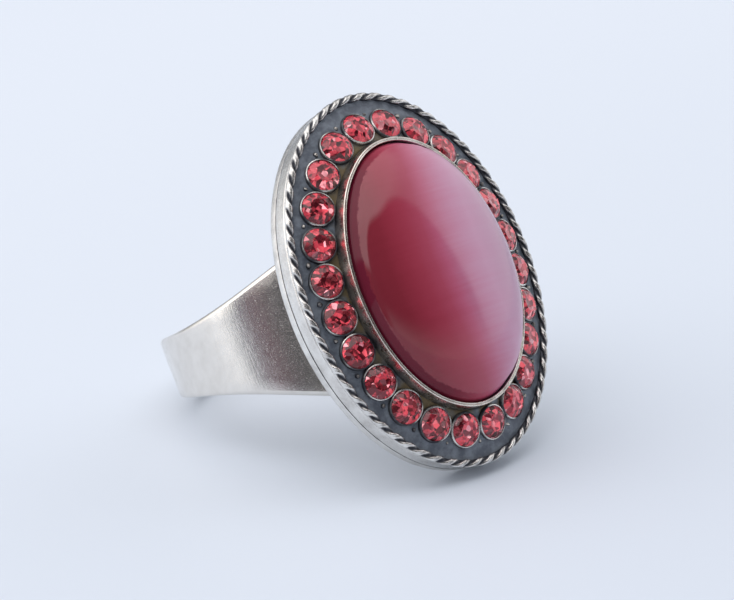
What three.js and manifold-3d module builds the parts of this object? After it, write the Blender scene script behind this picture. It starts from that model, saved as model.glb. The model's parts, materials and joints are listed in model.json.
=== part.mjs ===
// Cocktail ring: an oval head with a domed cabochon, a halo of 24 round stones and a
// twisted-wire border, soldered to a flat band that flares towards the head.
//
// Units are millimetres, +Z is up. Every piece is first made in the head's own axes:
// x across the head, y along the head's long axis (and along the finger), z outward through
// the cabochon, with z = 0 at the widest line of the head. The finished ring is then laid
// down the way it rests on a table, on the head's lower tip and the back of the band.

import * as THREE from 'three';
import { mergeVertices } from 'three/addons/utils/BufferGeometryUtils.js';
import Module from 'manifold-3d';

const wasm = await Module();
wasm.setup();

// ---- Driving dimensions ------------------------------------------------------------------

const HEAD = { length: 25.7, width: 19.8 };
const FINGER_HOLE_DIAMETER = 18.2;
const CABOCHON = { length: 18, width: 13, bottomZ: 0.16, girdleZ: 1.25, domeRise: 2.75 };
const STONE = { count: 24, radius: 1.1, tableRadius: 0.62, crown: 0.38, pavilion: 0.95, girdle: 0.1 };
const BAND = {
  thickness: 1.12,
  backHalfWidth: 2.15,
  headHalfWidth: 6.3,
  flarePower: 3.6,   // how late the straight back turns into the flare
  outerBevel: 0.35,
  innerBevel: 0.25,
  headOffset: -0.6,  // the band's middle meets the head this far towards the lower tip
  lean: 0.087,       // and drifts back up by this much for each millimetre away from the head
};

// ---- Dimensions of the head --------------------------------------------------------------

const FIT = 0.03;               // gap left between two pieces that are pressed or cemented
const ROPE_RADIUS = 0.42;
const RIM_INSET = 0.09;         // side wall, inside the widest line of the rope
const PLATE = { bottomZ: -2.57, topZ: -1.88, bevel: 0.12 };
const TRAY = { bottomZ: -1.85, rimZ: -0.76, cupFloorZ: -0.33 };
const CHANNEL = { innerZ: 0.42, outerZ: -0.42 };
const CUP = { bottomZ: -0.3, floorZ: 0, lipZ: 1.47, wall: 0.3 };
const CEMENT = { bottomZ: 0.02, topZ: 0.14, inset: 0.25 };
const STONE_LINE = { length: 21.2, width: 16 };
const STONE_GIRDLE_Z = 0.25;
const STONE_TILT = THREE.MathUtils.degToRad(18);
const FIRST_STONE = -0.34;      // of one pitch, from the upper tip, clockwise from the front
const COLLET = { radius: 1.22, bottom: -0.75, top: 0.06 };
const SEAT_CLEARANCE = 0.04;
const GRAIN = { radius: 0.19, outward: 0.82, z: -0.26 };
const SOLDER = { halfWidth: 2.4, halfLength: 4.2 };
const BAND_GAP = 0.18;          // between the back plate and the top of the band
const OVAL_SEGMENTS = 64;
const BAND_SEGMENTS = 60;

const bandOuterRadius = FINGER_HOLE_DIAMETER / 2 + BAND.thickness;
const bandCentreZ = PLATE.bottomZ - BAND_GAP - bandOuterRadius;

// ---- Materials ---------------------------------------------------------------------------

const SILVER = { color: 0xb9b7b3, roughness: 0.35, metalness: 1 };
const DARK_SILVER = { color: 0x4a4d55, roughness: 0.45, metalness: 1 };
const RED_GLASS = { color: 0xc8303c, roughness: 0.05, metalness: 0 };
const CAT_EYE_GLASS = { color: 0x8c2437, roughness: 0.08, metalness: 0 };
const CEMENT_GREY = { color: 0x6e6a64, roughness: 0.9, metalness: 0 };

function named(name, geometry, material) {
  const mesh = new THREE.Mesh(geometry, new THREE.MeshStandardMaterial(material));
  mesh.name = name;
  return mesh;
}

// ---- Geometry helpers --------------------------------------------------------------------

// Turns a profile of [half length, half width, z] rings into an oval solid round the z axis.
// The profile starts and ends on the axis, or closes on itself.
function ovalSolid(profile, segments = OVAL_SEGMENTS) {
  const points = profile.map(([halfLength, , z]) => new THREE.Vector2(halfLength, z));
  const geometry = new THREE.LatheGeometry(points, segments);
  const position = geometry.attributes.position;
  for (let i = 0; i < position.count; i++) {
    const [halfLength, halfWidth] = profile[i % profile.length];
    const squeeze = halfLength > 0 ? halfWidth / halfLength : 1;
    position.setX(i, position.getX(i) * squeeze);
  }
  return geometry.rotateX(Math.PI / 2);
}

// A ring [half length, half width, z] a given distance inside the oval of a given size.
function insideOval(size, inset, z) {
  return [size.length / 2 - inset, size.width / 2 - inset, z];
}

function centre(z) {
  return [0, 0, z];
}

function toSolid(geometry) {
  const plain = geometry.clone();
  plain.deleteAttribute('normal');
  plain.deleteAttribute('uv');
  const merged = mergeVertices(plain, 1e-4);
  const triangles = [];
  for (let i = 0; i < merged.index.count; i += 3) {
    const [a, b, c] = [0, 1, 2].map((k) => merged.index.getX(i + k));
    if (a !== b && b !== c && c !== a) triangles.push(a, b, c);
  }
  const mesh = new wasm.Mesh({
    numProp: 3,
    vertProperties: new Float32Array(merged.attributes.position.array),
    triVerts: new Uint32Array(triangles),
  });
  return new wasm.Manifold(mesh);
}

function toGeometry(solid) {
  const mesh = solid.getMesh();
  const geometry = new THREE.BufferGeometry();
  geometry.setAttribute('position', new THREE.BufferAttribute(mesh.vertProperties, 3));
  geometry.setIndex(new THREE.BufferAttribute(mesh.triVerts, 1));
  geometry.computeVertexNormals();
  return geometry;
}

// ---- Where the stones sit ----------------------------------------------------------------

// A point on the stone line and the outward direction there, by fraction of the way round,
// clockwise from the upper tip as seen from the front, in equal steps of arc.
function stoneLine(fraction) {
  const [halfLength, halfWidth] = [STONE_LINE.length / 2, STONE_LINE.width / 2];
  const oval = new THREE.EllipseCurve(0, 0, halfWidth, halfLength, Math.PI / 2, -1.5 * Math.PI, true);
  oval.arcLengthDivisions = 720;
  const point = oval.getPointAt(THREE.MathUtils.euclideanModulo(fraction, 1));
  const outward = new THREE.Vector2(point.x / halfWidth ** 2, point.y / halfLength ** 2).normalize();
  return { point, outward };
}

// Moves a shape made upright at the origin to a seat, tipped outward with the channel.
function seatMatrix(index) {
  const { point, outward } = stoneLine((index + FIRST_STONE) / STONE.count);
  const axis = new THREE.Vector3(-outward.y, outward.x, 0);
  const matrix = new THREE.Matrix4().makeRotationAxis(axis, STONE_TILT);
  return matrix.setPosition(point.x, point.y, STONE_GIRDLE_Z);
}

function upright(profile, segments) {
  const points = profile.map(([radius, z]) => new THREE.Vector2(radius, z));
  return new THREE.LatheGeometry(points, segments).rotateX(Math.PI / 2);
}

// ---- Pieces of the head ------------------------------------------------------------------

function backPlate() {
  return ovalSolid([
    centre(PLATE.bottomZ),
    insideOval(HEAD, RIM_INSET + PLATE.bevel, PLATE.bottomZ),
    insideOval(HEAD, RIM_INSET, PLATE.bottomZ + PLATE.bevel),
    insideOval(HEAD, RIM_INSET, PLATE.topZ),
    centre(PLATE.topZ),
  ]);
}

// The middle line of the rope runs one rope radius inside the widest line of the head.
function ropeBorder(radius = ROPE_RADIUS, sides = 8) {
  const profile = [];
  for (let i = 0; i <= sides; i++) {
    const angle = (i / sides) * 2 * Math.PI;
    const inset = ROPE_RADIUS - radius * Math.cos(angle);
    profile.push(insideOval(HEAD, inset, TRAY.rimZ + ROPE_RADIUS + 0.02 + radius * Math.sin(angle)));
  }
  return ovalSolid(profile);
}

// The casting under the stones: side wall, ledge for the rope and sloping channel.
function trayBlank() {
  const ledge = 2 * ROPE_RADIUS + FIT;
  return ovalSolid([
    centre(TRAY.bottomZ),
    insideOval(HEAD, RIM_INSET, TRAY.bottomZ),
    insideOval(HEAD, RIM_INSET, TRAY.rimZ),
    insideOval(HEAD, ledge, TRAY.rimZ),
    insideOval(HEAD, ledge, CHANNEL.outerZ),
    insideOval(CABOCHON, -CUP.wall, CHANNEL.innerZ),
    centre(CHANNEL.innerZ),
  ]);
}

// The space that the bezel cup is pressed into.
function cupSpace() {
  return ovalSolid([
    centre(TRAY.cupFloorZ),
    insideOval(CABOCHON, -CUP.wall - FIT, TRAY.cupFloorZ),
    insideOval(CABOCHON, -CUP.wall - FIT, CUP.lipZ),
    centre(CUP.lipZ),
  ]);
}

function collet() {
  return upright([[0, COLLET.bottom], [COLLET.radius, COLLET.bottom],
    [COLLET.radius, COLLET.top], [0, COLLET.top]], 12);
}

// The hole for one stone: a cone for its back and a straight mouth for its girdle.
function seatCutter() {
  const mouth = STONE.radius + SEAT_CLEARANCE;
  const slope = STONE.pavilion / STONE.radius;
  const mouthZ = -STONE.girdle / 2 - SEAT_CLEARANCE;
  return upright([[0, mouthZ - mouth * slope], [mouth, mouthZ], [mouth, 1], [0, 1]], 12);
}

// One grain of silver stands outside each pair of neighbouring stones.
function grain(index) {
  const { point, outward } = stoneLine((index + 0.5 + FIRST_STONE) / STONE.count);
  const bead = new THREE.SphereGeometry(GRAIN.radius, 5, 4);
  const place = point.clone().addScaledVector(outward, GRAIN.outward);
  return bead.translate(place.x, place.y, GRAIN.z);
}

function headTray() {
  let tray = toSolid(trayBlank());
  for (let i = 0; i < STONE.count; i++) {
    tray = tray.add(toSolid(collet().applyMatrix4(seatMatrix(i))));
    tray = tray.add(toSolid(grain(i)));
  }
  for (let i = 0; i < STONE.count; i++) {
    tray = tray.subtract(toSolid(seatCutter().applyMatrix4(seatMatrix(i))));
  }
  tray = tray.subtract(toSolid(ropeBorder(ROPE_RADIUS + FIT)));
  tray = tray.subtract(toSolid(cupSpace()));
  return toGeometry(tray);
}

function bezelCup() {
  return ovalSolid([
    centre(CUP.bottomZ),
    insideOval(CABOCHON, -CUP.wall, CUP.bottomZ),
    insideOval(CABOCHON, -CUP.wall, CUP.lipZ - 0.1),
    insideOval(CABOCHON, -CUP.wall + 0.1, CUP.lipZ),
    insideOval(CABOCHON, -FIT, CUP.lipZ),
    insideOval(CABOCHON, -FIT, CUP.floorZ),
    centre(CUP.floorZ),
  ]);
}

function cabochonCement() {
  return ovalSolid([
    centre(CEMENT.bottomZ),
    insideOval(CABOCHON, CEMENT.inset, CEMENT.bottomZ),
    insideOval(CABOCHON, CEMENT.inset, CEMENT.topZ),
    centre(CEMENT.topZ),
  ], 48);
}

function cabochon(domeRings = 8) {
  const profile = [
    centre(CABOCHON.bottomZ),
    insideOval(CABOCHON, 0.15, CABOCHON.bottomZ),
    insideOval(CABOCHON, 0, CABOCHON.bottomZ + 0.15),
  ];
  for (let i = 0; i <= domeRings; i++) {
    const angle = (i / domeRings) * Math.PI / 2;
    const reach = i < domeRings ? Math.cos(angle) : 0;
    profile.push([
      (CABOCHON.length / 2) * reach,
      (CABOCHON.width / 2) * reach,
      CABOCHON.girdleZ + CABOCHON.domeRise * Math.sin(angle),
    ]);
  }
  return ovalSolid(profile, 48);
}

function roundStone() {
  return upright([
    [0, -STONE.girdle / 2 - STONE.pavilion],
    [STONE.radius, -STONE.girdle / 2],
    [STONE.radius, STONE.girdle / 2],
    [STONE.tableRadius, STONE.girdle / 2 + STONE.crown],
    [0, STONE.girdle / 2 + STONE.crown],
  ], 12);
}

// ---- Band and the solder that holds it ---------------------------------------------------

// The band is a ring of rectangular section with bevelled edges. Its half width grows from
// the back to the head, and its middle line leans a little, as the finished ring does.
function band() {
  const inner = FINGER_HOLE_DIAMETER / 2;
  const outer = bandOuterRadius;
  const section = [
    { radius: inner + BAND.innerBevel, side: -1, inset: 0 },
    { radius: outer - BAND.outerBevel, side: -1, inset: 0 },
    { radius: outer, side: -1, inset: BAND.outerBevel },
    { radius: outer, side: 1, inset: BAND.outerBevel },
    { radius: outer - BAND.outerBevel, side: 1, inset: 0 },
    { radius: inner + BAND.innerBevel, side: 1, inset: 0 },
    { radius: inner, side: 1, inset: BAND.innerBevel },
    { radius: inner, side: -1, inset: BAND.innerBevel },
    { radius: inner + BAND.innerBevel, side: -1, inset: 0 },
  ];
  const points = section.map(({ radius, side }) => new THREE.Vector2(radius, side));
  const geometry = new THREE.LatheGeometry(points, BAND_SEGMENTS);
  const position = geometry.attributes.position;
  for (let i = 0; i < position.count; i++) {
    const { radius, side, inset } = section[i % section.length];
    // 0 at the back of the band, 1 at the head
    const rise = THREE.MathUtils.clamp((1 + position.getZ(i) / radius) / 2, 0, 1);
    const halfWidth = BAND.backHalfWidth
      + (BAND.headHalfWidth - BAND.backHalfWidth) * rise ** BAND.flarePower;
    const middle = BAND.headOffset + BAND.lean * 2 * bandOuterRadius * (1 - rise);
    position.setY(i, middle + side * (halfWidth - inset));
  }
  return geometry.translate(0, 0, bandCentreZ);
}

// Solder fills the wedge between the flat plate and the round top of the band.
function solderJoint() {
  const reach = bandOuterRadius + FIT;
  const edgeAngle = Math.asin(SOLDER.halfWidth / reach);
  const top = PLATE.bottomZ - FIT - bandCentreZ;
  const shape = new THREE.Shape();
  shape.moveTo(SOLDER.halfWidth, top);
  shape.lineTo(-SOLDER.halfWidth, top);
  shape.absarc(0, 0, reach, Math.PI / 2 + edgeAngle, Math.PI / 2 - edgeAngle, true);
  const depth = 2 * SOLDER.halfLength;
  const geometry = new THREE.ExtrudeGeometry(shape, { depth, bevelEnabled: false, curveSegments: 8 });
  geometry.translate(0, 0, -SOLDER.halfLength);
  geometry.rotateX(Math.PI / 2);
  return geometry.translate(0, BAND.headOffset, bandCentreZ);
}

// ---- Assembly ----------------------------------------------------------------------------

const ring = new THREE.Group();
ring.add(named('band', band(), SILVER));
ring.add(named('solder_joint', solderJoint(), SILVER));
ring.add(named('back_plate', backPlate(), SILVER));
ring.add(named('head_tray', headTray(), DARK_SILVER));
ring.add(named('rope_border', ropeBorder(), SILVER));
ring.add(named('bezel_cup', bezelCup(), SILVER));
ring.add(named('cabochon_cement', cabochonCement(), CEMENT_GREY));
ring.add(named('cabochon', cabochon(), CAT_EYE_GLASS));
for (let i = 0; i < STONE.count; i++) {
  const stone = named(`stone_${String(i + 1).padStart(2, '0')}`, roundStone(), RED_GLASS);
  stone.applyMatrix4(seatMatrix(i));
  ring.add(stone);
}

// The ring leans back until a straight edge touches both the rear of the head's lower tip
// and the lower edge of the back of the band.
function restingTilt() {
  const tipHeight = -(HEAD.length / 2 - RIM_INSET);
  const backDrop = PLATE.bevel + BAND_GAP + 2 * bandOuterRadius - BAND.outerBevel;
  const backHeight = BAND.headOffset + BAND.lean * 2 * bandOuterRadius - BAND.backHalfWidth;
  return Math.atan2(backHeight - tipHeight, backDrop);
}

// Stands the ring on z = 0 with its middle over the origin, and turns the head to face -Y.
const part = new THREE.Group();
ring.rotation.x = Math.PI / 2 - restingTilt();
part.add(ring);
part.updateMatrixWorld(true);
const box = new THREE.Box3().setFromObject(part, true);
const middle = box.getCenter(new THREE.Vector3());
ring.position.set(-middle.x, -middle.y, -box.min.z);

export default part;
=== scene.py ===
"""Cocktail ring: an oval cat's-eye cabochon in a halo of small stones, on a flared band.

The pieces are modelled in the head's own axes, in millimetres: x across the head, y along its
long axis, z outward through the cabochon. The record's finger_hole mount says where those axes
lie in the row frame, which is in metres.
"""

import json
import math
import random

import bmesh
import bpy
from mathutils import Matrix, Vector, noise


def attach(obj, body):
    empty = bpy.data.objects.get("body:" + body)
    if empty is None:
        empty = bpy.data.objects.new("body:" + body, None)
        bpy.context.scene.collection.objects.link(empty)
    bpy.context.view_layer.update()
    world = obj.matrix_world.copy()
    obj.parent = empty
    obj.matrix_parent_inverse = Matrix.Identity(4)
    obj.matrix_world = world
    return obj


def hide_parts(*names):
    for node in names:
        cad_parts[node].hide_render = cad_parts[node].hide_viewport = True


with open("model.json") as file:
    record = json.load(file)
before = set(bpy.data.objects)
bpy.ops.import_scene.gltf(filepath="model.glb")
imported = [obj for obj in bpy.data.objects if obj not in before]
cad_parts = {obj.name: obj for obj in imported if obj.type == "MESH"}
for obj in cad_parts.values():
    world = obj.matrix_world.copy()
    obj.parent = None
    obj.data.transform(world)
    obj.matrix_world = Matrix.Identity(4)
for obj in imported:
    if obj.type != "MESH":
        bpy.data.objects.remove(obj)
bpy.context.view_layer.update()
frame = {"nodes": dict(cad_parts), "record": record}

# Without a seed, noise_vector starts from the clock and differs from run to run.
noise.seed_set(1)

# ---- Sizes, in millimetres ----------------------------------------------------------------

MM = 0.001
OVAL_SEGMENTS = 256

# The CAD model's sizes. A pair is a half length and a half width.
HEAD = (12.85, 9.9)          # at the widest line of the head
WALL_INSET = 0.09            # of the side wall and the back plate
CABOCHON = (9.0, 6.5)
CABOCHON_BASE_Z = 0.16
GIRDLE_Z = 1.25
DOME_RISE = 2.75
CUP_WALL = 0.3
LIP_Z = 1.47

STONE_COUNT = 24
STONE_RADIUS = 1.1
STONE_LINE = (10.6, 8.0)     # the oval that the stones stand on
STONE_Z = 0.25
STONE_TILT = math.radians(18)
FIRST_STONE = -0.34          # of one pitch, from the upper tip, clockwise from the front

HOLE_RADIUS = 9.1
BAND_THICKNESS = 1.12
BACK_HALF_WIDTH = 2.15
HEAD_HALF_WIDTH = 6.3
FLARE_POWER = 3.6            # how late the straight back turns into the flare
OUTER_BEVEL = 0.35
INNER_BEVEL = 0.25
HEAD_OFFSET = -0.6           # the band's middle meets the head this far towards the lower tip
BAND_LEAN = 0.087            # and drifts back up by this much for each millimetre from the head
BAND_GAP = 0.18              # between the back plate and the top of the band

# Sizes that the CAD model has otherwise, or not at all.
ROPE_RADIUS = 0.28
ROPE_INSET = 0.15            # of the rope's middle line
ROPE_Z = -0.35
PLATE_Z = (-2.57, -1.81)     # bottom, top
WALL_Z = (-1.78, -0.76)      # bottom, top
CHANNEL_Z = (-0.45, 0.52)    # at the rope, at the bezel
SIDE_INSET = 0.1             # of the cabochon's steep side, at its foot
RIDGE_Z = 2.06               # the top of the steep side

BAND_RADIUS = HOLE_RADIUS + BAND_THICKNESS
BAND_CENTRE_Z = PLATE_Z[0] - BAND_GAP - BAND_RADIUS


# ---- Camera and room ----------------------------------------------------------------------

# Azimuths and elevations are in degrees. An azimuth of 0 is in front of the ring, and positive
# to the right.
CAMERA_AZIMUTH = -42.52
CAMERA_ELEVATION = 19.93
CAMERA_ROLL = math.radians(-1.38)
CAMERA_TARGET = (-0.00305, -0.00544, 0.01089)    # metres
CAMERA_DISTANCE = 0.17                           # metres
CAMERA_LENS = 126.9                              # millimetres, for a sensor 36 mm wide

ONLOOKER_AZIMUTH = -8
ONLOOKER_HALF_WIDTH = 54
ONLOOKER_TOP = 60
WINDOW = (-85, 30)           # azimuth, elevation
DOORWAY = (76, 16)           # azimuth, elevation
ROOM_LIGHT = 0.86
FLOOR_HALF_WIDTH = 1.5       # metres


# ---- From the head's axes to the row frame ------------------------------------------------

def head_to_row():
    """The head's axes in the row frame. The hole's middle is a known point of the head's axes."""
    mount = next(m for m in frame["record"]["mounts"] if m["name"] == "finger_hole")
    across = Vector((1, 0, 0))
    along = Vector(mount["axis"]).normalized()
    outward = across.cross(along)
    hole = Vector((0, HEAD_OFFSET + BAND_LEAN * BAND_RADIUS, BAND_CENTRE_Z)) * MM
    turn = Matrix((across, along, outward)).transposed()
    place = Vector(mount["pos_m"]) - turn @ hole
    return Matrix.Translation(place) @ turn.to_4x4() @ Matrix.Scale(MM, 4)


TO_ROW = head_to_row()


# ---- Mesh helpers -------------------------------------------------------------------------

def add_piece(name, points, faces, node, material, tarnish_and_shade=None, smooth=True):
    """Makes a piece from points in the head's axes, riding on the one body. The ring rests on
    the floor, so nothing goes below it."""
    mesh = bpy.data.meshes.new(name)
    placed = [TO_ROW @ Vector(p) for p in points]
    mesh.from_pydata([(p.x, p.y, max(p.z, 0.0)) for p in placed], [], faces)
    mesh.update()
    for polygon in mesh.polygons:
        polygon.use_smooth = smooth
    if tarnish_and_shade is not None:
        layer = mesh.attributes.new("tarnish_and_shade", "FLOAT", "POINT")
        layer.data.foreach_set("value", tarnish_and_shade)
    piece = bpy.data.objects.new(name, mesh)
    bpy.context.scene.collection.objects.link(piece)
    mesh.materials.append(material)
    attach(piece, "root")
    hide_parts(node)
    return piece


def smoothstep(low, high, value):
    """0 up to low, 1 from high on, and a smooth rise between them."""
    t = min(max((value - low) / (high - low), 0.0), 1.0)
    return t * t * (3 - 2 * t)


def arc(centre_inset, centre_z, radius, start, end, steps=5):
    """Points (inset, z) round a rounded edge. Angles in degrees, 0 outward, 90 up."""
    points = []
    for i in range(steps + 1):
        angle = math.radians(start + (end - start) * i / steps)
        points.append((centre_inset - radius * math.cos(angle), centre_z + radius * math.sin(angle)))
    return points


def grid_faces(rows, columns, close_rows=False):
    """Quads between rings of points. Each ring closes on itself, and the rows may too."""
    faces = []
    for i in range(rows if close_rows else rows - 1):
        for j in range(columns):
            a, b = i * columns, ((i + 1) % rows) * columns
            k = (j + 1) % columns
            faces.append((a + j, a + k, b + k, b + j))
    return faces


def oval_sweep(size, profile, segments=OVAL_SEGMENTS, closed=False, wobble=0.0):
    """Sweeps (inset, z) points round an oval. An open profile is capped at both ends."""
    points = []
    for inset, z in profile:
        for j in range(segments):
            angle = 2 * math.pi * j / segments
            x = (size[1] - inset) * math.sin(-angle)
            y = (size[0] - inset) * math.cos(angle)
            point = Vector((x, y, z))
            if wobble:
                point += wobble * noise.noise_vector(point * 0.45)
            points.append(point)
    faces = grid_faces(len(profile), segments, closed)
    if not closed:
        faces.append(tuple(reversed(range(segments))))
        last = (len(profile) - 1) * segments
        faces.append(tuple(range(last, last + segments)))
    return points, faces


# ---- Nodes for the materials --------------------------------------------------------------

class Nodes:
    """A short way to write a material's node tree."""

    def __init__(self, name):
        self.material = bpy.data.materials.new(name)
        self.material.use_nodes = True
        self.tree = self.material.node_tree
        self.shader = self.tree.nodes["Principled BSDF"]

    def add(self, kind, settings=None, **inputs):
        node = self.tree.nodes.new(kind)
        for key, value in (settings or {}).items():
            setattr(node, key, value)
        for key, value in inputs.items():
            self.put(node.inputs[key.replace("_", " ")], value)
        return node

    def put(self, socket, value):
        """Links a socket to another one, or gives it a plain value."""
        if isinstance(value, bpy.types.NodeSocket):
            self.tree.links.new(value, socket)
        else:
            socket.default_value = value

    def set(self, **inputs):
        """Sets inputs of the shader itself."""
        for key, value in inputs.items():
            self.put(self.shader.inputs[key.replace("_", " ")], value)

    def object_coordinates(self, scale=(1, 1, 1), turn=None):
        """Object coordinates in millimetres, turned into the head's axes if asked."""
        coordinates = self.add("ShaderNodeTexCoord").outputs["Object"]
        mapping = self.add("ShaderNodeMapping", {"vector_type": "POINT"}, Vector=coordinates)
        mapping.inputs["Scale"].default_value = (1 / MM, 1 / MM, 1 / MM)
        if turn is not None:
            mapping.vector_type = "TEXTURE"
            mapping.inputs["Scale"].default_value = (MM, MM, MM)
            mapping.inputs["Location"].default_value = turn.to_translation()
            mapping.inputs["Rotation"].default_value = turn.to_euler()
        stretch = self.add("ShaderNodeMapping", Vector=mapping.outputs["Vector"])
        stretch.inputs["Scale"].default_value = scale
        return stretch.outputs["Vector"]

    def noise(self, vector, scale, detail=4.0, roughness=0.6):
        node = self.add("ShaderNodeTexNoise", Vector=vector, Scale=scale, Detail=detail,
                        Roughness=roughness)
        return node.outputs["Fac"]

    def span(self, value, low, high, to_low=0.0, to_high=1.0, kind="SMOOTHSTEP"):
        """Runs from to_low to to_high while the value runs from low to high."""
        node = self.add("ShaderNodeMapRange", {"interpolation_type": kind}, Value=value,
                        From_Min=low, From_Max=high, To_Min=to_low, To_Max=to_high)
        return node.outputs["Result"]

    def math(self, operation, a, b=0.0):
        node = self.add("ShaderNodeMath", {"operation": operation})
        self.put(node.inputs[0], a)
        self.put(node.inputs[1], b)
        return node.outputs[0]

    def vector(self, operation, a, b=(0, 0, 0), scale=1.0):
        node = self.add("ShaderNodeVectorMath", {"operation": operation})
        self.put(node.inputs[0], a)
        if operation == "SCALE":
            node.inputs["Scale"].default_value = scale
        elif operation not in ("NORMALIZE", "LENGTH"):
            self.put(node.inputs[1], b)
        return node.outputs["Value" if operation in ("DOT_PRODUCT", "LENGTH") else "Vector"]

    def mix(self, factor, a, b):
        node = self.add("ShaderNodeMix", {"data_type": "RGBA"})
        self.put(node.inputs["Factor"], factor)
        self.put(node.inputs[6], a)
        self.put(node.inputs[7], b)
        return node.outputs[2]

    def bump(self, height, depth_mm, strength=1.0, normal=None):
        node = self.add("ShaderNodeBump", Height=height, Strength=strength, Distance=depth_mm * MM)
        if normal is not None:
            self.put(node.inputs["Normal"], normal)
        return node.outputs["Normal"]


class WorldNodes(Nodes):
    """The same for the world's light, which depends on the direction it comes from."""

    def __init__(self):
        world = bpy.data.worlds.new("room")
        bpy.context.scene.world = world
        world.use_nodes = True
        self.tree = world.node_tree
        self.background = self.tree.nodes["Background"]
        self.direction = self.add("ShaderNodeTexCoord").outputs["Generated"]

    def azimuth_and_elevation(self):
        """Of the direction, in degrees, as for the camera."""
        axes = self.add("ShaderNodeSeparateXYZ", Vector=self.direction)
        front = self.math("MULTIPLY", axes.outputs["Y"], -1.0)
        azimuth = self.math("DEGREES", self.math("ARCTAN2", axes.outputs["X"], front))
        elevation = self.math("DEGREES", self.math("ARCSINE", axes.outputs["Z"]))
        return azimuth, elevation

    def power(self, value, exponent):
        return self.math("POWER", self.math("ABSOLUTE", value), exponent)


def rgb(red, green, blue):
    """An sRGB colour, 0 to 255, as a linear colour."""
    def linear(c):
        c /= 255
        return c / 12.92 if c <= 0.04045 else ((c + 0.055) / 1.055) ** 2.4
    return (linear(red), linear(green), linear(blue), 1.0)


def fill_ramp(ramp, stops):
    """Sets a colour ramp's stops, given as (position, colour) pairs."""
    while len(ramp.elements) < len(stops):
        ramp.elements.new(0.5)
    for element, (position, colour) in zip(ramp.elements, stops):
        element.position = position
        element.color = colour


# ---- Materials ----------------------------------------------------------------------------

# The cabochon's colour from its left edge (0) to its right edge (1): deep red glass, then a painted
# lilac sheen.
RED_AND_SHEEN_STOPS = (
    (0.0, rgb(114, 36, 47)),
    (0.12, rgb(132, 41, 55)),
    (0.2, rgb(152, 51, 69)),
    (0.27, rgb(164, 61, 81)),
    (0.35, rgb(176, 76, 99)),
    (0.42, rgb(190, 97, 126)),
    (0.5, rgb(197, 121, 151)),
    (0.58, rgb(201, 137, 168)),
    (0.67, rgb(203, 149, 179)),
    (0.82, rgb(192, 146, 174)),
    (1.0, rgb(162, 122, 149)),
)


def silver_material(name, bright, dull, roughness, wear):
    """Antiqued silver plate. Its darkening attribute is 0 on worn metal and 1 in the recesses; it
    carries real oxide in the hollows, and painted shade on some pieces.
    """
    n = Nodes(name)
    # This dark colour serves both for oxide in the hollows and for painted shade.
    oxide = rgb(62, 64, 71)
    position = n.object_coordinates()
    tarnish_and_shade = n.add("ShaderNodeAttribute", {"attribute_name": "tarnish_and_shade"}).outputs["Fac"]
    clouds = n.noise(position, 0.9, 5.0, 0.65)
    speckle = n.noise(position, 9.0, 3.0, 0.7)
    patchy = n.math("ADD", tarnish_and_shade, n.span(clouds, 0.35, 0.75, -0.18 * wear, 0.3 * wear))
    patchy = n.math("ADD", patchy, n.span(speckle, 0.52, 0.72, 0.0, 0.35 * wear))
    amount = n.span(patchy, 0.05, 0.95)
    metal = n.mix(n.span(clouds, 0.3, 0.7), bright, dull)
    n.set(Base_Color=n.mix(amount, metal, oxide), Metallic=n.span(amount, 0.2, 1.0, 1.0, 0.75))
    scratches = n.noise(n.object_coordinates((9.0, 0.35, 1.2), TO_ROW), 2.0, 3.0, 0.6)
    rough = n.math("ADD", n.span(clouds, 0.3, 0.8, roughness - 0.06, roughness + 0.1),
                   n.span(amount, 0.0, 1.0, 0.0, 0.22))
    n.set(Roughness=n.math("ADD", rough, n.span(scratches, 0.4, 0.7, -0.03, 0.05)))
    grain = n.bump(n.noise(position, 22.0, 3.0, 0.6), 0.006 + 0.01 * wear)
    pits = n.bump(n.span(speckle, 0.35, 0.55, 1.0, 0.0), 0.01 * wear, 0.6, grain)
    dented = n.span(n.noise(position, 9.0, 2.0, 0.5), 0.62, 0.74, 1.0, 0.0)
    dents = n.bump(dented, 0.003, 1.0, pits)
    n.set(Normal=n.bump(scratches, 0.01, 0.8, dents))
    return n.material


def recess_material():
    """Blue-black oxide in the channel, browner and greener close to the bezel."""
    n = Nodes("oxidised_recess")
    position = n.object_coordinates()
    clouds = n.noise(position, 1.3, 5.0, 0.65)
    fine = n.noise(position, 8.0, 4.0, 0.7)
    warm = n.add("ShaderNodeAttribute", {"attribute_name": "warm"}).outputs["Fac"]
    oxide = n.mix(n.span(clouds, 0.35, 0.7), rgb(88, 95, 106), rgb(128, 136, 146))
    warm_amount = n.math("MULTIPLY", warm, n.span(n.noise(position, 0.4, 3.0), 0.35, 0.55))
    oxide = n.mix(warm_amount, oxide, rgb(112, 98, 70))
    worn = n.span(fine, 0.62, 0.8, 0.0, 0.6)
    n.set(Base_Color=n.mix(worn, oxide, rgb(150, 152, 156)))
    n.set(Metallic=0.3, Roughness=n.span(clouds, 0.3, 0.8, 0.42, 0.6))
    lumps = n.bump(clouds, 0.05, 0.7)
    n.set(Normal=n.bump(fine, 0.02, 0.8, lumps))
    return n.material


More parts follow.
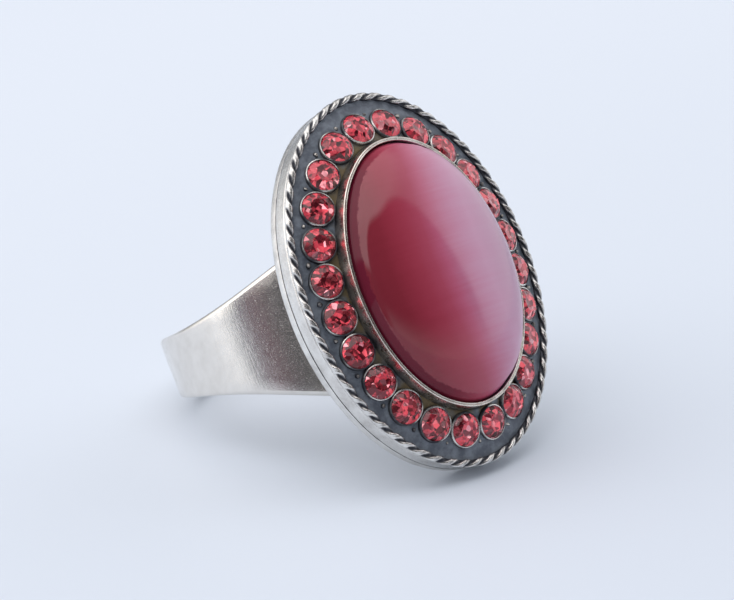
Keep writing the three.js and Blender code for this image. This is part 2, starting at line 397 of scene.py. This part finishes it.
def stone_material():
    """Foil-backed red glass. The crown is real facets with a glassy coat. Under it the foiled
    back shows as small mirrors that lean inwards like a cone, each painted a lighter or darker red,
    with a few painted pink sparkles: a painted play of light."""
    n = Nodes("foiled_red_glass")
    spot = n.add("ShaderNodeAttribute", {"attribute_name": "spot"}).outputs["Vector"]
    radial = n.add("ShaderNodeAttribute", {"attribute_name": "radial"}).outputs["Vector"]
    facet = n.add("ShaderNodeAttribute", {"attribute_name": "facet"}).outputs["Fac"]
    shift = n.add("ShaderNodeCombineXYZ", X=facet, Y=n.math("MULTIPLY", facet, 3.7)).outputs["Vector"]
    mosaic = n.add("ShaderNodeTexVoronoi", Vector=n.vector("ADD", spot, shift), Scale=3.4)
    axes = n.add("ShaderNodeSeparateXYZ", Vector=spot)
    angle = n.math("ARCTAN2", axes.outputs["Y"], axes.outputs["X"])
    reach = n.vector("LENGTH", radial)
    polar = n.add("ShaderNodeCombineXYZ", X=n.math("MULTIPLY", angle, 1.6),
                  Y=n.math("MULTIPLY", reach, 1.4), Z=axes.outputs["Z"])
    streaks = n.add("ShaderNodeTexVoronoi", Vector=polar.outputs["Vector"], Scale=1.9)
    outer = n.span(reach, 0.4, 0.62)
    cell = n.mix(outer, mosaic.outputs["Color"], streaks.outputs["Color"])
    parts = n.add("ShaderNodeSeparateColor", Color=cell)
    # Painted reflections: each cell is painted a lighter or darker red.
    red = n.mix(n.span(parts.outputs["Red"], 0.1, 0.9), rgb(136, 25, 42), rgb(232, 80, 94))
    # Painted sparkles: a few cells are painted pale pink.
    red = n.mix(n.span(parts.outputs["Green"], 0.84, 0.92, 0.0, 0.8), red, rgb(250, 168, 176))
    # Painted dark reflections: some cells are painted deep dark red.
    red = n.mix(n.span(parts.outputs["Blue"], 0.28, 0.14, 0.0, 0.8), red, rgb(96, 18, 30))
    n.set(Base_Color=red, Metallic=0.8, Roughness=0.14)
    n.set(Coat_Weight=1.0, Coat_Roughness=0.01, Coat_IOR=1.55)
    true_normal = n.add("ShaderNodeNewGeometry").outputs["Normal"]
    lean = n.vector("ADD", true_normal, n.vector("SCALE", radial, scale=-0.6))
    spread = n.vector("SCALE", n.vector("SUBTRACT", cell, (0.5, 0.5, 0.5)), scale=0.7)
    n.set(Normal=n.vector("NORMALIZE", n.vector("ADD", lean, spread)))
    return n.material


def cabochon_material():
    """Cat's-eye glass: deep red on one side, and a painted lilac sheen with fine fibre streaks on the
    other. The steep side below the ridge is duller all round, and darker on the left with painted
    shade."""
    n = Nodes("cat_eye_glass")
    place = n.object_coordinates((1, 1, 1), TO_ROW)
    axes = n.add("ShaderNodeSeparateXYZ", Vector=place)
    fibres = n.noise(n.object_coordinates((0.12, 2.6, 0.4), TO_ROW), 1.0, 4.0, 0.6)
    bend = n.math("MULTIPLY", n.math("MULTIPLY", axes.outputs["Y"], axes.outputs["Y"]), -0.025)
    bent = n.math("ADD", axes.outputs["X"], bend)
    across = n.math("ADD", bent, n.span(fibres, 0.25, 0.75, -0.09, 0.09))
    place_on_ramp = n.span(across, -CABOCHON[1], CABOCHON[1], kind="LINEAR")
    ramp = n.add("ShaderNodeValToRGB", Fac=place_on_ramp)
    fill_ramp(ramp.color_ramp, RED_AND_SHEEN_STOPS)
    # Painted sheen: pale lilac streaks along the fibres, on the right side.
    fibre_sheen = n.math("MULTIPLY", n.span(fibres, 0.3, 0.75, 0.0, 0.14), n.span(across, -1.5, 1.5))
    sheen = n.mix(fibre_sheen, ramp.outputs["Color"], rgb(205, 170, 196))
    chips = n.noise(n.object_coordinates(), 2.2, 4.0, 0.7)
    height = n.math("ADD", axes.outputs["Z"], n.span(chips, 0.3, 0.75, -0.08, 0.12))
    side = n.span(height, RIDGE_Z - 0.05, RIDGE_Z + 0.05, 1.0, 0.0)
    # Painted shade: the steep side is painted dark red on the left.
    shade = n.math("MULTIPLY", side, n.span(axes.outputs["X"], 0.0, -4.0, 0.0, 0.85))
    n.set(Base_Color=n.mix(shade, sheen, rgb(98, 24, 44)))
    n.set(Roughness=0.3, IOR=1.5, Specular_IOR_Level=0.0)
    n.set(Coat_Weight=n.math("SUBTRACT", 1.0, n.math("MULTIPLY", side, 0.6)))
    n.set(Coat_Roughness=0.02, Coat_IOR=1.52)
    n.set(Coat_Normal=n.bump(n.noise(n.object_coordinates(), 1.1, 2.0), 0.003, 0.5))
    return n.material


def cement_material():
    n = Nodes("set_cement")
    grit = n.noise(n.object_coordinates(), 6.0, 5.0)
    n.set(Base_Color=n.mix(n.span(grit, 0.3, 0.7), rgb(96, 90, 84), rgb(134, 128, 120)))
    n.set(Roughness=0.9, Normal=n.bump(grit, 0.03))
    return n.material


def floor_material():
    """A plain pale floor, painted a little brighter behind the ring than in front of it, as light
    falling off.
    """
    n = Nodes("pale_surface")
    axes = n.add("ShaderNodeSeparateXYZ", Vector=n.object_coordinates())
    # Painted light: the floor grows brighter towards the back.
    behind = n.span(axes.outputs["Y"], -110, 110)
    n.set(Base_Color=n.mix(behind, rgb(209, 218, 230), rgb(226, 234, 245)), Roughness=0.55)
    return n.material


SILVER = silver_material("antiqued_silver", rgb(232, 230, 226), rgb(210, 207, 203), 0.16, 0.55)
BRIGHT = silver_material("burnished_silver", rgb(236, 231, 222), rgb(208, 202, 192), 0.2, 0.5)
SATIN = silver_material("satin_silver", rgb(230, 226, 220), rgb(220, 216, 210), 0.08, 0.14)
SOLDER = silver_material("dull_solder", rgb(170, 168, 164), rgb(132, 130, 128), 0.42, 1.0)
RECESS = recess_material()
RED_STONE = stone_material()
CAT_EYE = cabochon_material()


# ---- Band and its solder ------------------------------------------------------------------

def band_section():
    """(radius, side, inset) round the band's section, with rounded edges."""
    steps = 5
    section = []
    corners = ((BAND_RADIUS, -1, OUTER_BEVEL, -90, 0), (BAND_RADIUS, 1, OUTER_BEVEL, 0, 90),
               (HOLE_RADIUS, 1, INNER_BEVEL, 90, 180), (HOLE_RADIUS, -1, INNER_BEVEL, 180, 270))
    for radius, side, bevel, start, end in corners:
        inward = -1 if radius == BAND_RADIUS else 1
        for i in range(steps + 1):
            angle = math.radians(start + (end - start) * i / steps)
            section.append((radius + inward * bevel + bevel * math.cos(angle), side,
                            bevel * (1 - abs(math.sin(angle)))))
    return section


def loop_with_flats(loop, corner_points, widths):
    """Adds points across the broad faces, so that a slight unevenness shows on them."""
    result = []
    for corner in range(4):
        part = loop[corner * corner_points:(corner + 1) * corner_points]
        result += part
        if corner in (0, 2):
            start, end = part[-1], loop[((corner + 1) % 4) * corner_points]
            for i in range(1, widths + 1):
                t = i / (widths + 1)
                result.append((start[0] + (end[0] - start[0]) * t, start[1] + (end[1] - start[1]) * t))
    return result


def make_band(segments=288, widths=7):
    """A flat strip closed into a ring. Its flat faces near the head are duller and darker, with
    painted shade.
    """
    section = band_section()
    points, tarnish_and_shade = [], []
    for j in range(segments):
        angle = 2 * math.pi * j / segments
        rise = (1 + math.cos(angle)) / 2
        half_width = BACK_HALF_WIDTH + (HEAD_HALF_WIDTH - BACK_HALF_WIDTH) * rise ** FLARE_POWER
        middle = HEAD_OFFSET + BAND_LEAN * 2 * BAND_RADIUS * (1 - rise)
        loop = [(radius, side * (half_width - inset)) for radius, side, inset in section]
        loop = loop_with_flats(loop, len(section) // 4, widths)
        for radius, y in loop:
            z = BAND_CENTRE_Z + radius * math.cos(angle)
            point = Vector((radius * math.sin(angle), middle + y, z))
            point += 0.006 * noise.noise_vector(point * 0.4)
            points.append(point)
            flat = 1 - smoothstep(half_width - 0.9, half_width - 0.2, abs(y))
            # Painted shade: the flat faces near the head are darkened.
            shade_near_head = smoothstep(0.8, 0.9, rise + 0.03 * noise.noise(point * 0.5))
            tarnish_and_shade.append(0.04 + 0.2 * shade_near_head * flat)
    columns = len(points) // segments
    faces = grid_faces(segments, columns, close_rows=True)
    add_piece("band_strip", points, faces, "band", SATIN, tarnish_and_shade)


def make_solder(half_width=2.35, half_length=4.15, rows=40, columns=24):
    """A saddle of solder, between the flat plate and the round band."""
    gap = 0.03
    top = PLATE_Z[0] - gap
    points, tarnish_and_shade = [], []
    for i in range(rows + 1):
        y = half_length * (2 * i / rows - 1)
        pinch = 1 - 0.12 * abs(y / half_length) ** 6
        for layer in (0, 1):
            for j in range(columns + 1):
                x = half_width * pinch * (2 * j / columns - 1)
                below = BAND_CENTRE_Z + math.sqrt((BAND_RADIUS + gap) ** 2 - x * x)
                ripple = 0.03 * noise.noise(Vector((x, y, layer)) * 1.3)
                z = top if layer else min(below + abs(ripple), top - 0.02)
                points.append((x, HEAD_OFFSET + y, z))
                tarnish_and_shade.append(0.45 + ripple * 6)
    faces = []
    stride = 2 * (columns + 1)
    for i in range(rows):
        for j in range(columns):
            low = i * stride + j
            high = low + columns + 1
            faces.append((low, low + stride, low + stride + 1, low + 1))
            faces.append((high, high + 1, high + stride + 1, high + stride))
        for j in (0, columns):
            low = i * stride + j
            side = (low, low + columns + 1, low + stride + columns + 1, low + stride)
            faces.append(side if j == 0 else side[::-1])
    for row, flip in ((0, False), (rows, True)):
        for j in range(columns):
            low = row * stride + j
            end = (low, low + 1, low + columns + 2, low + columns + 1)
            faces.append(end[::-1] if flip else end)
    add_piece("solder_saddle", points, faces, "solder_joint", SOLDER, tarnish_and_shade)


# ---- Back plate, side wall and channel ----------------------------------------------------

def make_back_plate():
    """The flat plate that closes the head. Its rear edge is rounded, its seam is dark, and painted
    shade darkens its rear face away from the edge.
    """
    low, high = PLATE_Z
    profile = [(WALL_INSET + 5.0, low), (WALL_INSET + 1.5, low)]
    profile += arc(WALL_INSET + 0.32, low + 0.32, 0.32, -90, 0)
    profile += [(WALL_INSET, high - 0.3)]
    profile += arc(WALL_INSET + 0.06, high - 0.06, 0.06, 0, 90, 4)
    profile += [(WALL_INSET + 0.6, high)]
    points, faces = oval_sweep(HEAD, profile, wobble=0.02)
    tarnish_and_shade = []
    for inset, z in profile:
        seam = 0.8 * smoothstep(high - 0.06, high - 0.01, z)
        # Painted shade: the rear face, under the head, darkens away from its edge.
        rear_face_shade = 0.35 * smoothstep(0.25, 1.2, inset)
        tarnish_and_shade += [max(seam, rear_face_shade, 0.05)] * OVAL_SEGMENTS
    add_piece("rear_plate", points, faces, "back_plate", SILVER, tarnish_and_shade)


def make_side_wall():
    """The casting's wall, from the dark seam up to the rope."""
    low, high = WALL_Z
    profile = [(WALL_INSET + 1.2, low)]
    profile += arc(WALL_INSET + 0.05, low + 0.05, 0.05, -90, 0, 4)
    profile += [(WALL_INSET, low + 0.4), (WALL_INSET, high - 0.2), (WALL_INSET, high)]
    profile += [(WALL_INSET + 0.3, high + 0.1), (WALL_INSET + 1.2, high)]
    points, faces = oval_sweep(HEAD, profile, closed=True, wobble=0.02)
    tarnish_and_shade = []
    for inset, z in profile:
        seam = 0.8 - 0.8 * smoothstep(low + 0.01, low + 0.06, z)
        inside = smoothstep(WALL_INSET + 0.1, WALL_INSET + 0.3, inset)
        tarnish_and_shade += [max(seam, inside, 0.02)] * OVAL_SEGMENTS
    add_piece("side_wall", points, faces, "head_tray", SILVER, tarnish_and_shade)


def make_channel():
    """The sloping floor between the rope and the bezel, slightly uneven like a casting."""
    inner = HEAD[0] - CABOCHON[0] - CUP_WALL
    outer, under_rope = ROPE_INSET + 0.23, ROPE_INSET + 0.1
    bottom = WALL_Z[1] - 0.6
    rows = 14
    profile = [(inner, bottom), (under_rope, bottom), (under_rope, CHANNEL_Z[0] + 0.1)]
    first_row = len(profile)
    for i in range(rows + 1):
        t = i / rows
        z = CHANNEL_Z[0] + (CHANNEL_Z[1] - CHANNEL_Z[0]) * t
        profile.append((outer + (inner - outer) * t, z))
    segments = 320
    points, faces = oval_sweep(HEAD, profile, segments, closed=True)
    warm = []
    for index, point in enumerate(points):
        row = index // segments - first_row
        if row >= 0:
            point.z += 0.035 * noise.noise(point * 2.2)
        warm.append(smoothstep(0.3, 0.8, row / rows))
    piece = add_piece("channel_floor", points, faces, "head_tray", RECESS)
    layer = piece.data.attributes.new("warm", "FLOAT", "POINT")
    layer.data.foreach_set("value", warm)


# ---- Rope border --------------------------------------------------------------------------

def oval_walk(half_length, half_width, samples=2048):
    """A function from a fraction of the oval's length, anticlockwise from the upper tip, to a
    point and its outward direction."""
    table = [0.0]
    previous = Vector((0, half_length))
    for i in range(1, samples + 1):
        angle = 2 * math.pi * i / samples
        point = Vector((-half_width * math.sin(angle), half_length * math.cos(angle)))
        table.append(table[-1] + (point - previous).length)
        previous = point

    def walk(fraction):
        target = (fraction % 1.0) * table[-1]
        low, high = 0, samples
        while high - low > 1:
            middle = (low + high) // 2
            low, high = (middle, high) if table[middle] <= target else (low, middle)
        share = (target - table[low]) / (table[high] - table[low])
        angle = 2 * math.pi * (low + share) / samples
        point = Vector((-half_width * math.sin(angle), half_length * math.cos(angle), 0))
        outward = Vector((point.x / half_width ** 2, point.y / half_length ** 2, 0)).normalized()
        return point, outward

    return walk


def rim_section(turn):
    """(inset, z) on the rim's section. The turn is 0 outward and 90 degrees at the crest."""
    outer = turn if turn < math.pi else turn - 2 * math.pi
    if -math.pi / 2 < outer < 0:
        fall = -math.sin(outer)
        outermost = ROPE_INSET - ROPE_RADIUS
        return (outermost + (WALL_INSET - outermost) * fall ** 1.5,
                ROPE_Z - (ROPE_Z - WALL_Z[1]) * fall)
    return ROPE_INSET - ROPE_RADIUS * math.cos(turn), ROPE_Z + ROPE_RADIUS * math.sin(turn)


def make_rope(lobes=63, phase=0.5, steps_per_lobe=22, sides=36):
    """A rim cut with slanting slits, so that it looks like two wires twisted together. The slits
    fade out towards the smooth outer side. A shallow hollow runs along the middle of each lobe.
    The slits, the hollows and the inner side are darker, partly oxide and partly painted shade."""
    slit_depth, hollow_depth, rounding = 0.17, 0.015, 0.03
    slant = 230              # degrees round the section in which a slit moves on by one lobe
    walk = oval_walk(HEAD[0] - ROPE_INSET, HEAD[1] - ROPE_INSET)
    steps = lobes * steps_per_lobe
    points, tarnish_and_shade = [], []
    for i in range(steps):
        core, outward = walk(i / steps)
        jitter = 0.12 * noise.noise(core * 0.5)
        uneven = 1 + 0.3 * noise.noise(core * 1.7)
        for j in range(sides):
            turn = 2 * math.pi * j / sides
            degrees = math.degrees(turn if turn < 1.25 * math.pi else turn - 2 * math.pi)
            inset, z = rim_section(turn)
            across = (lobes * i / steps - degrees / slant + phase + jitter) % 1.0
            from_slit = min(across, 1 - across)
            width = (0.12 + 0.13 * smoothstep(-45, 50, degrees)) * uneven
            slit = math.exp(-(from_slit / width) ** 3)
            reach = smoothstep(-30, 45, degrees) * (1 - smoothstep(170, 215, degrees))
            hollow = math.exp(-((across - 0.55) / 0.12) ** 2)
            depth = slit_depth * slit + hollow_depth * hollow + rounding * (1 - 2 * from_slit) ** 4
            away = Vector((ROPE_INSET - inset, z - ROPE_Z))
            away *= 1 - reach * depth / away.length
            points.append(core + outward * away.x + Vector((0, 0, ROPE_Z + away.y)))
            # Darkening in the slits, along the hollows and on the inner side: partly oxide, partly
            # painted shade.
            slit_oxide_and_shade = slit * smoothstep(-25, 15, degrees)
            inner = smoothstep(125, 178, degrees)
            tarnish_and_shade.append(max(slit_oxide_and_shade, inner, 0.45 * hollow * smoothstep(10, 60, degrees)))
    faces = grid_faces(steps, sides, close_rows=True)
    add_piece("rope_rim", points, faces, "rope_border", SILVER, tarnish_and_shade)


# ---- Stones, collets and grains -----------------------------------------------------------

STONE_WALK = oval_walk(*STONE_LINE)


def seat(index):
    """The place of a stone: a matrix whose z axis is the way the stone faces."""
    point, outward = STONE_WALK(-(index + FIRST_STONE) / STONE_COUNT)
    tilt = Matrix.Rotation(STONE_TILT, 4, Vector((-outward.y, outward.x, 0)))
    return Matrix.Translation(point + Vector((0, 0, STONE_Z))) @ tilt


def stone_corners():
    """The corners of a round chaton: table, stars, girdle, lower halves and culet."""
    rings = ((8, 0.0, 0.56, 0.43), (8, 0.5, 0.82, 0.27), (16, 0.0, 1.0, 0.05),
             (16, 0.0, 1.0, -0.05), (8, 0.5, 0.52, -0.5))
    corners = [Vector((0, 0, -1.0))]
    for count, phase, reach, z in rings:
        for i in range(count):
            angle = 2 * math.pi * (i + phase) / count
            reach_mm = STONE_RADIUS * reach
            corners.append(Vector((reach_mm * math.cos(angle), reach_mm * math.sin(angle), z)))
    return corners


def make_stones():
    """Each stone is the hull of its corners, turned and rocked a little at random in its seat."""
    rng = random.Random(7)
    for index in range(STONE_COUNT):
        place = seat(index) @ Matrix.Rotation(rng.uniform(0, math.pi), 4, "Z")
        place = place @ Matrix.Rotation(rng.uniform(-0.05, 0.05), 4, "X")
        shape = bmesh.new()
        for corner in stone_corners():
            shape.verts.new(corner)
        bmesh.ops.convex_hull(shape, input=shape.verts)
        bmesh.ops.dissolve_limit(shape, angle_limit=0.02, verts=shape.verts, edges=shape.edges)
        bmesh.ops.recalc_face_normals(shape, faces=shape.faces)
        shape.verts.ensure_lookup_table()
        spots = [vert.co / STONE_RADIUS for vert in shape.verts]
        points = [place @ vert.co for vert in shape.verts]
        faces = [tuple(vert.index for vert in face.verts) for face in shape.faces]
        shape.free()
        number = f"{index + 1:02d}"
        piece = add_piece(f"chaton_{number}", points, faces, f"stone_{number}",
                          RED_STONE, smooth=False)
        turn = (TO_ROW @ place).to_3x3() * (1 / MM)
        spot_layer = piece.data.attributes.new("spot", "FLOAT_VECTOR", "POINT")
        radial_layer = piece.data.attributes.new("radial", "FLOAT_VECTOR", "POINT")
        for k, spot in enumerate(spots):
            spot_layer.data[k].vector = (spot.x, spot.y, 5.0 * index)
            radial_layer.data[k].vector = turn @ Vector((spot.x, spot.y, 0))
        facet_layer = piece.data.attributes.new("facet", "FLOAT", "FACE")
        for polygon in piece.data.polygons:
            facet_layer.data[polygon.index].value = rng.random()


def make_collets(segments=40):
    """A thin ring of metal round each stone, darker down to its foot and lighter on top, with random
    lighter patches.
    """
    foot, seat_radius = -0.45, STONE_RADIUS + 0.02
    # Each point of the profile is a radius, a height and how dark it is.
    profile = ((seat_radius, foot, 1.0), (1.25, foot, 0.7), (1.22, -0.1, 0.5), (1.205, 0.02, 0.4),
               (1.17, 0.075, 0.15), (1.12, 0.09, 0.15), (1.085, 0.08, 0.6), (1.11, 0.03, 1.0),
               (seat_radius, -0.1, 1.0))
    points, faces, tarnish_and_shade = [], [], []
    for index in range(STONE_COUNT):
        place = seat(index)
        start = len(points)
        for radius, z, dark in profile:
            for j in range(segments):
                angle = 2 * math.pi * j / segments
                spot = Vector((radius * math.cos(angle), radius * math.sin(angle), z))
                worn = noise.noise(Vector((index * 3.1, math.cos(angle) * 0.9, math.sin(angle) * 0.9)))
                if z > 0.06:
                    spot.z += 0.04 * worn
                points.append(place @ spot)
                tarnish_and_shade.append(min(max(dark + 0.4 - 2.0 * worn, 0.0), 0.85))
        ring = grid_faces(len(profile), segments, close_rows=True)
        faces += [tuple(start + k for k in face) for face in ring]
    add_piece("collets", points, faces, "head_tray", SILVER, tarnish_and_shade)


def make_grains(rings=8, sides=14):
    """A small bead of metal outside each pair of neighbouring stones."""
    rng = random.Random(11)
    points, faces, tarnish_and_shade = [], [], []
    for index in range(STONE_COUNT):
        point, outward = STONE_WALK(-(index + 0.5 + FIRST_STONE) / STONE_COUNT)
        radius = 0.17 * rng.uniform(0.7, 1.15)
        wear = rng.uniform(0.3, 0.75)
        centre = point + outward * 0.82 + Vector((0, 0, -0.19))
        start = len(points)
        points.append(centre + Vector((0, 0, radius)))
        tarnish_and_shade.append(wear)
        for i in range(1, rings):
            polar = math.pi * i / rings
            for j in range(sides):
                angle = 2 * math.pi * j / sides
                spoke = Vector((math.cos(angle), math.sin(angle), 0)) * math.sin(polar)
                bead = centre + radius * (spoke + Vector((0, 0, math.cos(polar))))
                points.append(bead + 0.08 * noise.noise_vector(bead * 4))
                tarnish_and_shade.append(wear + (1 - wear) * smoothstep(0.4, 1.6, polar))
        points.append(centre - Vector((0, 0, radius)))
        tarnish_and_shade.append(1.0)
        last = len(points) - 1
        for j in range(sides):
            k = (j + 1) % sides
            faces.append((start, start + 1 + j, start + 1 + k))
            faces.append((last, last - sides + k, last - sides + j))
        ring = grid_faces(rings - 1, sides)
        faces += [tuple(start + 1 + k for k in reversed(face)) for face in ring]
    add_piece("grains", points, faces, "head_tray", BRIGHT, tarnish_and_shade)


# ---- Bezel and cabochon -------------------------------------------------------------------

def make_bezel():
    """The cup's wall. Its lip is rounded, with a fine hand-dressed groove along it."""
    foot = -0.3
    profile = [(0.05, foot)]
    profile += [(-CUP_WALL, z) for z in (foot, 0.5, 1.0, LIP_Z - 0.16)]
    profile += arc(-CUP_WALL + 0.07, LIP_Z - 0.08, 0.07, 0, 120, 6)
    profile += [(-0.17, LIP_Z - 0.04), (-0.15, LIP_Z - 0.035)]
    profile += arc(-0.1, LIP_Z - 0.07, 0.06, 60, 180, 6)
    profile += [(0.0, 1.2), (0.0, 0.2), (0.05, 0.0)]
    segments = 360
    points, faces = oval_sweep(CABOCHON, profile, segments, closed=True, wobble=0.03)
    tarnish_and_shade = []
    for index, point in enumerate(points):
        inset, z = profile[index // segments]
        foot_dark = 0.62 - 0.62 * smoothstep(0.85, 1.3, z)
        groove = 0.5 * math.exp(-((inset + 0.16) / 0.03) ** 2)
        inside = smoothstep(-0.06, -0.02, inset)
        patch = 0.35 * max(0.0, noise.noise(point * 0.8))
        tarnish_and_shade.append(min(1.0, max(foot_dark, groove, 0.8 * inside) + patch))
    add_piece("bezel_wall", points, faces, "bezel_cup", BRIGHT, tarnish_and_shade)


def dome_point(reach, angle, turn):
    """A point of the dome. The angle is 0 at the girdle and 90 degrees at the top."""
    return Vector((reach[1] * math.cos(angle) * math.sin(-turn),
                   reach[0] * math.cos(angle) * math.cos(turn),
                   GIRDLE_Z + DOME_RISE * math.sin(angle)))


def make_cabochon(rings=56, segments=360):
    """The base, a steep side just above the lip, and the dome, with a chipped ridge between."""
    gap = 0.03
    reach = CABOCHON[0] - gap, CABOCHON[1] - gap
    profile = [(0.3, CABOCHON_BASE_Z), (0.05, CABOCHON_BASE_Z + 0.1), (0.0, CABOCHON_BASE_Z + 0.3),
               (0.0, GIRDLE_Z - 0.05), (SIDE_INSET, GIRDLE_Z + 0.05)]
    points, faces = oval_sweep(reach, profile, segments)
    faces.pop()              # the upper cap, where the dome goes on
    start = len(points) - segments
    ridge_angle = math.degrees(math.asin((RIDGE_Z - GIRDLE_Z) / DOME_RISE))
    for i in range(1, rings):
        angle = math.radians(ridge_angle + (90 - ridge_angle) * (i - 1) / (rings - 1))
        for j in range(segments):
            turn = 2 * math.pi * j / segments
            chip = 0.05 * noise.noise(Vector((9 * math.cos(turn), 9 * math.sin(turn), 0.5)))
            point = dome_point(reach, angle, turn)
            if i < 3:
                point.z += chip
            points.append(point)
    faces += [tuple(start + k for k in face) for face in grid_faces(rings, segments)]
    points.append(Vector((0, 0, GIRDLE_Z + DOME_RISE)))
    top = len(points) - 1
    last = top - segments
    faces += [(last + j, last + (j + 1) % segments, top) for j in range(segments)]
    add_piece("cat_eye_dome", points, faces, "cabochon", CAT_EYE)


def finish_cement():
    """The cement stays the CAD solid and only gets its material."""
    node = frame["nodes"]["cabochon_cement"]
    node.data.materials.clear()
    node.data.materials.append(cement_material())


# ---- Surroundings -------------------------------------------------------------------------

def make_floor():
    half = FLOOR_HALF_WIDTH
    mesh = bpy.data.meshes.new("floor")
    corners = [(-half, -half, 0), (half, -half, 0), (half, half, 0), (-half, half, 0)]
    mesh.from_pydata(corners, [], [(0, 1, 2, 3)])
    floor = bpy.data.objects.new("floor", mesh)
    mesh.materials.append(floor_material())
    bpy.context.scene.collection.objects.link(floor)


def direction(azimuth, elevation):
    """The way from the ring to something seen at an azimuth and elevation, in degrees."""
    a, e = math.radians(azimuth), math.radians(elevation)
    return Vector((math.sin(a) * math.cos(e), -math.cos(a) * math.cos(e), math.sin(e)))


def room_colour(w, azimuth, elevation):
    """A bright room: brightest overhead and through a window on the left, with an open doorway
    on the right."""
    lower = w.math("MULTIPLY", w.span(azimuth, -62, -95), 16.0)
    ceiling = w.span(w.math("ADD", elevation, lower), 48, 66)
    window = w.vector("DOT_PRODUCT", w.direction, tuple(direction(*WINDOW)))
    doorway = w.vector("DOT_PRODUCT", w.direction, tuple(direction(*DOORWAY)))
    sides = w.mix(w.span(window, -0.2, 0.9), (0.36, 0.38, 0.41, 1), (2.1, 2.07, 2.07, 1))
    sides = w.mix(w.span(doorway, 0.62, 0.95), sides, (1.3, 1.3, 1.34, 1))
    overhead = w.mix(w.span(window, -0.1, 0.9), (1.55, 1.54, 1.56, 1), (2.5, 2.44, 2.46, 1))
    return w.mix(ceiling, sides, overhead)


def body_shape(w, azimuth, elevation):
    """1 where the onlooker stands in front of the ring, and 0 elsewhere."""
    off_middle = w.math("SUBTRACT", azimuth, ONLOOKER_AZIMUTH)
    across = w.power(w.math("DIVIDE", off_middle, ONLOOKER_HALF_WIDTH), 4)
    upward = w.power(w.math("DIVIDE", elevation, ONLOOKER_TOP), 4)
    return w.span(w.math("ADD", across, upward), 0.82, 1.2, 1.0, 0.0)


def hand_shape(w, azimuth, elevation):
    """1 where the onlooker's hand is held low on the left, and 0 elsewhere."""
    sides = w.math("MULTIPLY", w.span(azimuth, -103, -98), w.span(azimuth, -46, -56))
    raised = w.math("SUBTRACT", elevation, w.math("MULTIPLY", azimuth, 0.3))
    return w.math("MULTIPLY", sides, w.span(raised, 54, 45))


def make_world():
    """The room, with the dim onlooker in front of it. Below the onlooker the pale table shows,
    except where the hand hides it."""
    mauve, grey = (0.24, 0.155, 0.185, 1), (0.15, 0.153, 0.17, 1)
    dark, slate = (0.075, 0.074, 0.08, 1), (0.19, 0.22, 0.27, 1)
    table = (1.0, 1.0, 1.03, 1)
    w = WorldNodes()
    azimuth, elevation = w.azimuth_and_elevation()
    room = room_colour(w, azimuth, elevation)
    hand = hand_shape(w, azimuth, elevation)
    dim = w.math("MAXIMUM", body_shape(w, azimuth, elevation), hand)
    coat = w.mix(w.span(azimuth, -78, -68), mauve, grey)
    coat = w.mix(w.span(azimuth, -60, -46), coat, dark)
    coat = w.mix(w.span(azimuth, -84, -90), coat, slate)
    onlooker = w.mix(w.span(elevation, 0, 20), table, coat)
    onlooker = w.mix(hand, onlooker, coat)
    w.put(w.background.inputs["Color"], w.mix(dim, room, onlooker))
    w.background.inputs["Strength"].default_value = ROOM_LIGHT


def make_camera():
    """A long lens at the onlooker's side, level but for a slight roll."""
    data = bpy.data.cameras.new("camera")
    camera = bpy.data.objects.new("camera", data)
    bpy.context.scene.collection.objects.link(camera)
    bpy.context.scene.camera = camera
    data.sensor_width = 36
    data.lens = CAMERA_LENS
    data.clip_start = 0.01
    back = direction(CAMERA_AZIMUTH, CAMERA_ELEVATION)
    target = Vector(CAMERA_TARGET)
    camera.location = target + back * CAMERA_DISTANCE
    turn = back.to_track_quat("Z", "Y").to_matrix() @ Matrix.Rotation(CAMERA_ROLL, 3, "Z")
    camera.rotation_euler = turn.to_euler()


# ---- The whole scene ----------------------------------------------------------------------

bpy.context.scene.view_settings.view_transform = "Standard"
make_camera()
make_world()
make_floor()
make_band()
make_solder()
make_back_plate()
make_side_wall()
make_channel()
make_rope()
make_collets()
make_grains()
make_stones()
make_bezel()
make_cabochon()
finish_cement()
